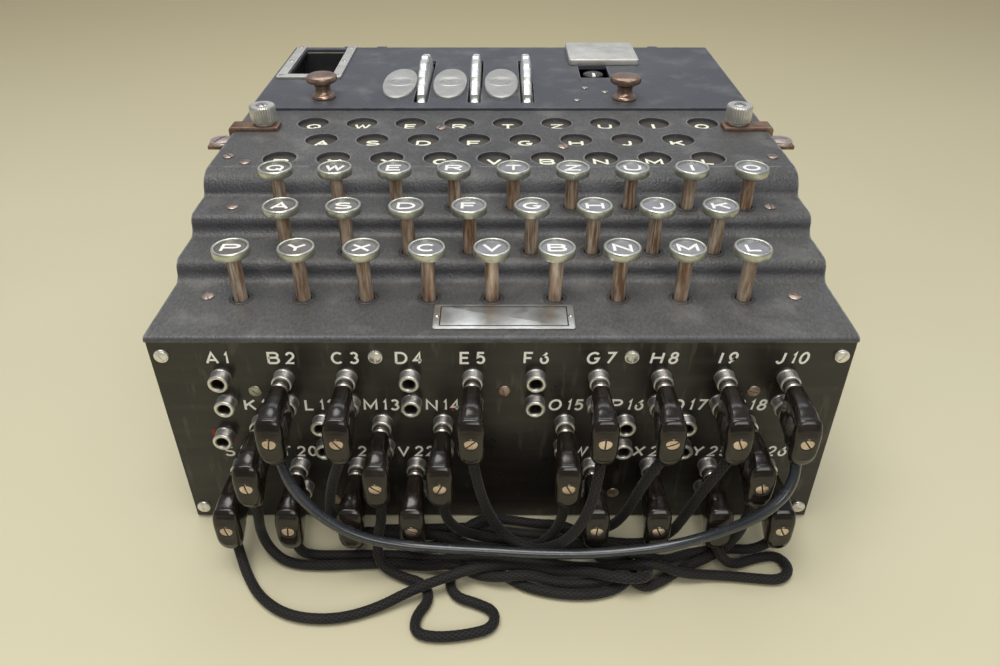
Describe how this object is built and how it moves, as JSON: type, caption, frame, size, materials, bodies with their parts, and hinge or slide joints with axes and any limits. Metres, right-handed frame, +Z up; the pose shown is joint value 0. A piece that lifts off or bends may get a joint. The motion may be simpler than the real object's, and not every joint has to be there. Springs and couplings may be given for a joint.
{
  "type": "rotor cipher machine",
  "caption": "Electromechanical rotor cipher machine with terraced keyboard, lamp panel, rotor lid and a front plug panel with patch cables.",
  "frame": {"origin": "centre of the underside of the base plate", "axes": "+X to the operator's right, +Y to the back, +Z up"},
  "size_m": [0.286, 0.347, 0.1304],
  "materials": {
    "black_frame": "matt black enamel on steel sheet, rubbed at the edges",
    "black_crackle": "dark grey-black crackle paint, worn along edges",
    "letter_film": "dark film with cream letters",
    "lamp_board": "brown laminate board with small clear bulbs",
    "panel_black": "polished black bakelite",
    "nickel": "dull nickel plate",
    "nickel_screws": "aged nickel screw heads",
    "insulator": "brown phenolic bed with phosphor bronze leaves",
    "frame_steel": "bare machined steel",
    "tin": "black tin battery case",
    "rusty_steel": "steel with light rust",
    "plug_bakelite": "black bakelite, polished by handling",
    "rotor_metal": "bright metal thumbwheel and black ring",
    "copper_knob": "nickel worn through to copper",
    "key_metal": "nickel ring, dark letter disc under glass, brown steel stem",
    "cord_braid": "black cotton braid over rubber wire",
    "cord_smooth": "smooth shiny black rubber"
  },
  "bodies": {
    "root": {"chassis_tray": "black_frame", "key_cover": "black_crackle", "lamp_cover": "black_crackle", "letter_film": "letter_film", "lamp_board": "lamp_board", "plug_panel": "panel_black", "socket_ferrules": "nickel", "screws": "nickel_screws", "number_plate": "nickel", "key_contact_bank": "insulator", "rotor_carrier": "frame_steel", "battery_box": "tin", "clamp_straps": "rusty_steel", "patch_plugs": "plug_bakelite", "cord_B_J": "cord_smooth", "cord_C_O": "cord_braid", "cord_E_G": "cord_braid", "cord_K_R": "cord_braid", "cord_M_W": "cord_braid", "cord_N_Z": "cord_braid", "cord_S_X": "cord_braid", "cord_T_Y": "cord_braid", "cord_U_H": "cord_braid", "cord_V_I": "cord_braid"},
    "lid": {"rotor_lid": "black_crackle", "lid_fittings": "nickel"},
    "rotor_left": {"rotor_left": "rotor_metal"},
    "rotor_middle": {"rotor_middle": "rotor_metal"},
    "rotor_right": {"rotor_right": "rotor_metal"},
    "latch_left": {"lid_latch_left": "copper_knob"},
    "latch_right": {"lid_latch_right": "copper_knob"},
    "power_switch": {"switch_knob": "panel_black"},
    "thumb_left": {"clamp_knob_left": "nickel"},
    "thumb_right": {"clamp_knob_right": "nickel"},
    "key_Q": {"key_Q": "key_metal"},
    "key_W": {"key_W": "key_metal"},
    "key_E": {"key_E": "key_metal"},
    "key_R": {"key_R": "key_metal"},
    "key_T": {"key_T": "key_metal"},
    "key_Z": {"key_Z": "key_metal"},
    "key_U": {"key_U": "key_metal"},
    "key_I": {"key_I": "key_metal"},
    "key_O": {"key_O": "key_metal"},
    "key_A": {"key_A": "key_metal"},
    "key_S": {"key_S": "key_metal"},
    "key_D": {"key_D": "key_metal"},
    "key_F": {"key_F": "key_metal"},
    "key_G": {"key_G": "key_metal"},
    "key_H": {"key_H": "key_metal"},
    "key_J": {"key_J": "key_metal"},
    "key_K": {"key_K": "key_metal"},
    "key_P": {"key_P": "key_metal"},
    "key_Y": {"key_Y": "key_metal"},
    "key_X": {"key_X": "key_metal"},
    "key_C": {"key_C": "key_metal"},
    "key_V": {"key_V": "key_metal"},
    "key_B": {"key_B": "key_metal"},
    "key_N": {"key_N": "key_metal"},
    "key_M": {"key_M": "key_metal"},
    "key_L": {"key_L": "key_metal"}
  },
  "joints": [
    {"name": "lid_hinge", "type": "hinge", "parent": "root", "child": "lid", "pos_m": [0, 0.141, 0.1125], "axis": [-1, 0, 0], "range_deg": [0, 100]},
    {"name": "rotor_left_spin", "type": "hinge", "parent": "root", "child": "rotor_left", "pos_m": [-0.0421, 0.073, 0.0805], "axis": [1, 0, 0], "continuous": true},
    {"name": "rotor_middle_spin", "type": "hinge", "parent": "root", "child": "rotor_middle", "pos_m": [-0.0139, 0.073, 0.0805], "axis": [1, 0, 0], "continuous": true},
    {"name": "rotor_right_spin", "type": "hinge", "parent": "root", "child": "rotor_right", "pos_m": [0.0139, 0.073, 0.0805], "axis": [1, 0, 0], "continuous": true},
    {"name": "latch_left_turn", "type": "hinge", "parent": "lid", "child": "latch_left", "pos_m": [-0.0937, 0.044, 0.118], "axis": [0, 0, 1], "range_deg": [0, 90]},
    {"name": "latch_right_turn", "type": "hinge", "parent": "lid", "child": "latch_right", "pos_m": [0.065, 0.042, 0.118], "axis": [0, 0, 1], "range_deg": [0, 90]},
    {"name": "power_switch_turn", "type": "hinge", "parent": "root", "child": "power_switch", "pos_m": [0.0532, 0.089, 0.11], "axis": [0, 0, 1], "range_deg": [-60, 60]},
    {"name": "thumb_left_turn", "type": "hinge", "parent": "root", "child": "thumb_left", "pos_m": [-0.1146, 0.0016, 0.12], "axis": [0, 0, 1], "continuous": true},
    {"name": "thumb_right_turn", "type": "hinge", "parent": "root", "child": "thumb_right", "pos_m": [0.1146, 0.0016, 0.12], "axis": [0, 0, 1], "continuous": true},
    {"name": "key_Q_press", "type": "slide", "parent": "root", "child": "key_Q", "axis": [0, 0, -1], "range_m": [0, 0.0045], "stiffness_N_per_m": 120, "springref_m": -0.004},
    {"name": "key_W_press", "type": "slide", "parent": "root", "child": "key_W", "axis": [0, 0, -1], "range_m": [0, 0.0045], "stiffness_N_per_m": 120, "springref_m": -0.004},
    {"name": "key_E_press", "type": "slide", "parent": "root", "child": "key_E", "axis": [0, 0, -1], "range_m": [0, 0.0045], "stiffness_N_per_m": 120, "springref_m": -0.004},
    {"name": "key_R_press", "type": "slide", "parent": "root", "child": "key_R", "axis": [0, 0, -1], "range_m": [0, 0.0045], "stiffness_N_per_m": 120, "springref_m": -0.004},
    {"name": "key_T_press", "type": "slide", "parent": "root", "child": "key_T", "axis": [0, 0, -1], "range_m": [0, 0.0045], "stiffness_N_per_m": 120, "springref_m": -0.004},
    {"name": "key_Z_press", "type": "slide", "parent": "root", "child": "key_Z", "axis": [0, 0, -1], "range_m": [0, 0.0045], "stiffness_N_per_m": 120, "springref_m": -0.004},
    {"name": "key_U_press", "type": "slide", "parent": "root", "child": "key_U", "axis": [0, 0, -1], "range_m": [0, 0.0045], "stiffness_N_per_m": 120, "springref_m": -0.004},
    {"name": "key_I_press", "type": "slide", "parent": "root", "child": "key_I", "axis": [0, 0, -1], "range_m": [0, 0.0045], "stiffness_N_per_m": 120, "springref_m": -0.004},
    {"name": "key_O_press", "type": "slide", "parent": "root", "child": "key_O", "axis": [0, 0, -1], "range_m": [0, 0.0045], "stiffness_N_per_m": 120, "springref_m": -0.004},
    {"name": "key_A_press", "type": "slide", "parent": "root", "child": "key_A", "axis": [0, 0, -1], "range_m": [0, 0.0045], "stiffness_N_per_m": 120, "springref_m": -0.004},
    {"name": "key_S_press", "type": "slide", "parent": "root", "child": "key_S", "axis": [0, 0, -1], "range_m": [0, 0.0045], "stiffness_N_per_m": 120, "springref_m": -0.004},
    {"name": "key_D_press", "type": "slide", "parent": "root", "child": "key_D", "axis": [0, 0, -1], "range_m": [0, 0.0045], "stiffness_N_per_m": 120, "springref_m": -0.004},
    {"name": "key_F_press", "type": "slide", "parent": "root", "child": "key_F", "axis": [0, 0, -1], "range_m": [0, 0.0045], "stiffness_N_per_m": 120, "springref_m": -0.004},
    {"name": "key_G_press", "type": "slide", "parent": "root", "child": "key_G", "axis": [0, 0, -1], "range_m": [0, 0.0045], "stiffness_N_per_m": 120, "springref_m": -0.004},
    {"name": "key_H_press", "type": "slide", "parent": "root", "child": "key_H", "axis": [0, 0, -1], "range_m": [0, 0.0045], "stiffness_N_per_m": 120, "springref_m": -0.004},
    {"name": "key_J_press", "type": "slide", "parent": "root", "child": "key_J", "axis": [0, 0, -1], "range_m": [0, 0.0045], "stiffness_N_per_m": 120, "springref_m": -0.004},
    {"name": "key_K_press", "type": "slide", "parent": "root", "child": "key_K", "axis": [0, 0, -1], "range_m": [0, 0.0045], "stiffness_N_per_m": 120, "springref_m": -0.004},
    {"name": "key_P_press", "type": "slide", "parent": "root", "child": "key_P", "axis": [0, 0, -1], "range_m": [0, 0.0045], "stiffness_N_per_m": 120, "springref_m": -0.004},
    {"name": "key_Y_press", "type": "slide", "parent": "root", "child": "key_Y", "axis": [0, 0, -1], "range_m": [0, 0.0045], "stiffness_N_per_m": 120, "springref_m": -0.004},
    {"name": "key_X_press", "type": "slide", "parent": "root", "child": "key_X", "axis": [0, 0, -1], "range_m": [0, 0.0045], "stiffness_N_per_m": 120, "springref_m": -0.004},
    {"name": "key_C_press", "type": "slide", "parent": "root", "child": "key_C", "axis": [0, 0, -1], "range_m": [0, 0.0045], "stiffness_N_per_m": 120, "springref_m": -0.004},
    {"name": "key_V_press", "type": "slide", "parent": "root", "child": "key_V", "axis": [0, 0, -1], "range_m": [0, 0.0045], "stiffness_N_per_m": 120, "springref_m": -0.004},
    {"name": "key_B_press", "type": "slide", "parent": "root", "child": "key_B", "axis": [0, 0, -1], "range_m": [0, 0.0045], "stiffness_N_per_m": 120, "springref_m": -0.004},
    {"name": "key_N_press", "type": "slide", "parent": "root", "child": "key_N", "axis": [0, 0, -1], "range_m": [0, 0.0045], "stiffness_N_per_m": 120, "springref_m": -0.004},
    {"name": "key_M_press", "type": "slide", "parent": "root", "child": "key_M", "axis": [0, 0, -1], "range_m": [0, 0.0045], "stiffness_N_per_m": 120, "springref_m": -0.004},
    {"name": "key_L_press", "type": "slide", "parent": "root", "child": "key_L", "axis": [0, 0, -1], "range_m": [0, 0.0045], "stiffness_N_per_m": 120, "springref_m": -0.004}
  ]
}
